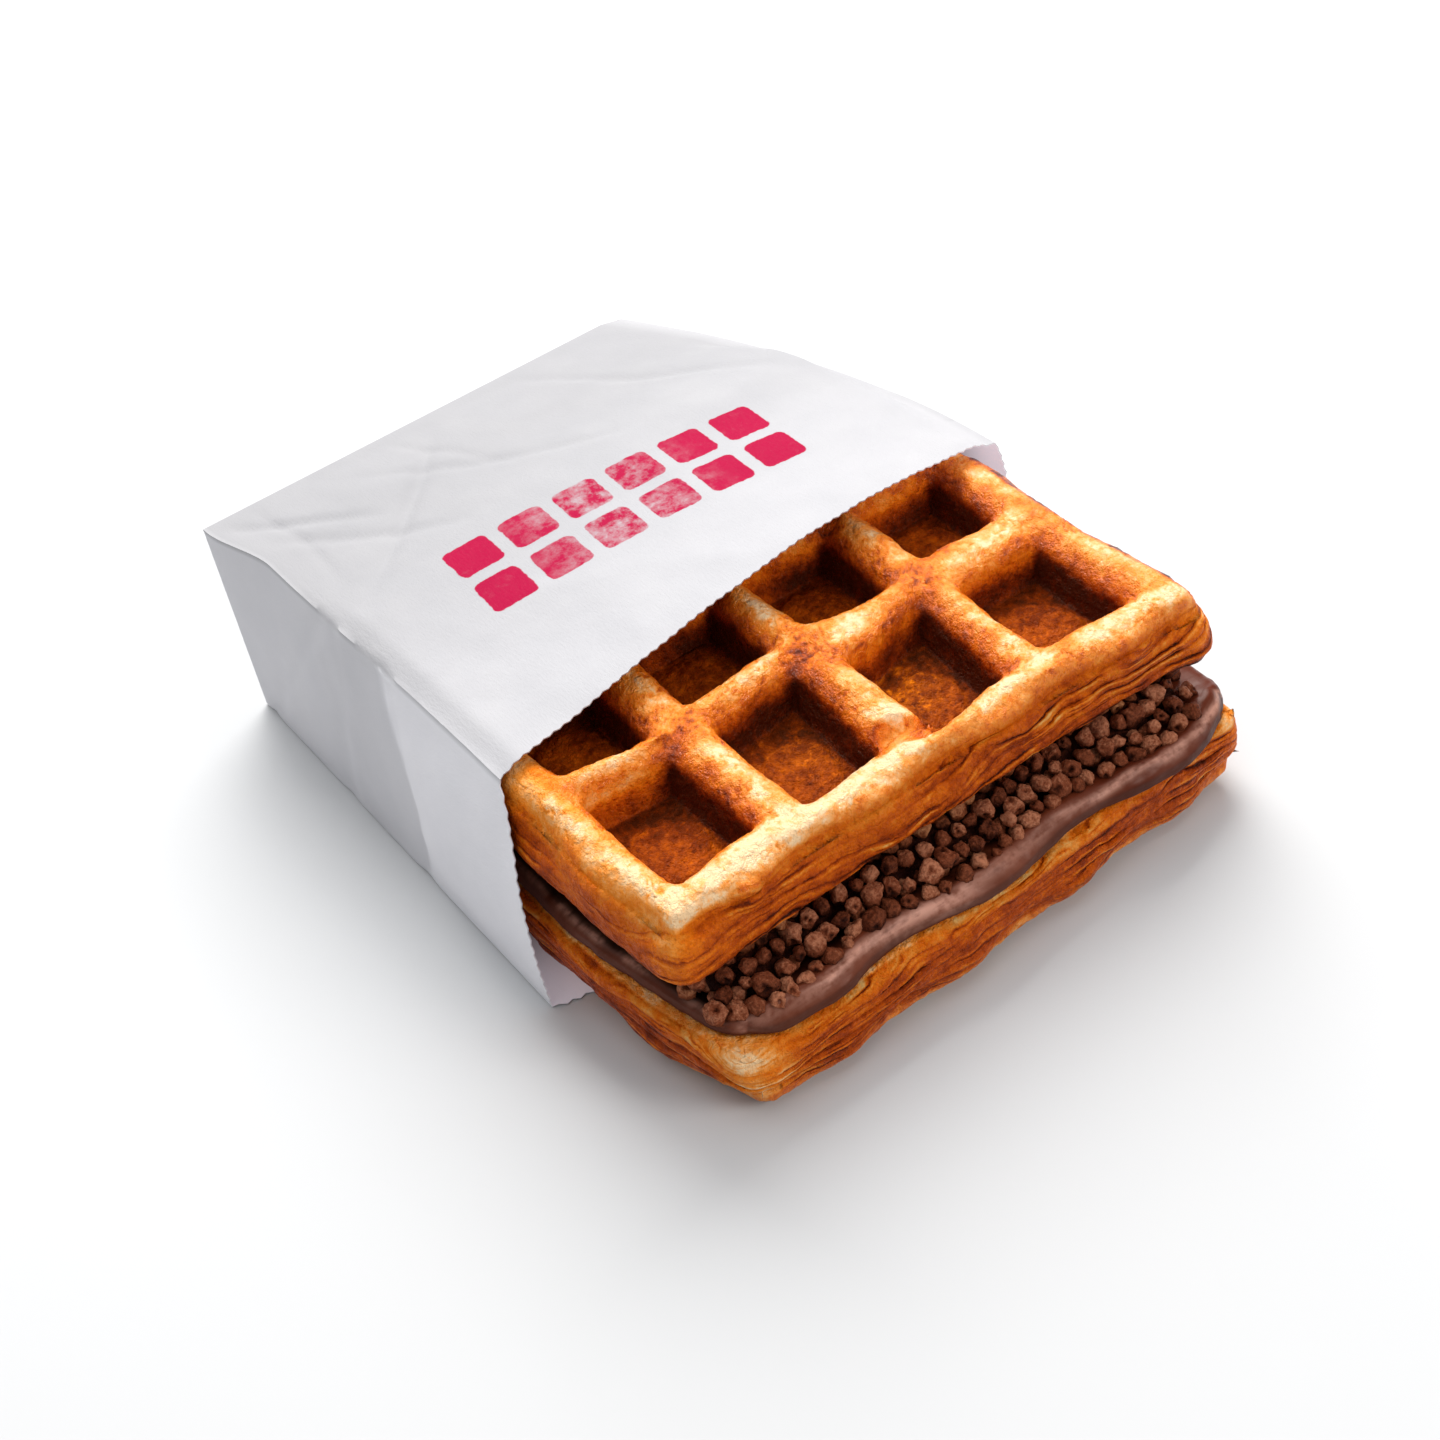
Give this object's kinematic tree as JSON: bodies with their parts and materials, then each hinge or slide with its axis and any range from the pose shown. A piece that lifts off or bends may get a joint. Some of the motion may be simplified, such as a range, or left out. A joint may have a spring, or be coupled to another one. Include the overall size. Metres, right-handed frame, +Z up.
{
  "type": "chocolate waffle",
  "caption": "Takeaway waffle sandwich of two pocketed halves with chocolate spread and crunch pearls between them, half out of a white paper bag.",
  "frame": {"origin": "centre of the bounding box in X and Y, at the underside of the bag", "axes": "+X across the waffle to the right as seen from the open mouth of the bag, +Y from the mouth towards the closed end of the bag, +Z up"},
  "size_m": [0.1204, 0.149, 0.0451],
  "materials": {
    "waffle_crust": "baked crust, golden brown on the ribs and darker in the pockets",
    "waffle_crust_lower": "baked crust, flaky at its edge",
    "chocolate_spread": "soft glossy hazelnut chocolate spread",
    "crunch_pearls": "chocolate-coated puffed grains, slightly shiny",
    "white_paper": "thin white greaseproof paper with a pinked mouth edge"
  },
  "bodies": {
    "root": {"top_waffle": "waffle_crust", "bottom_waffle": "waffle_crust_lower", "chocolate_spread": "chocolate_spread", "crunch_layer": "crunch_pearls", "paper_bag": "white_paper"}
  },
  "joints": []
}
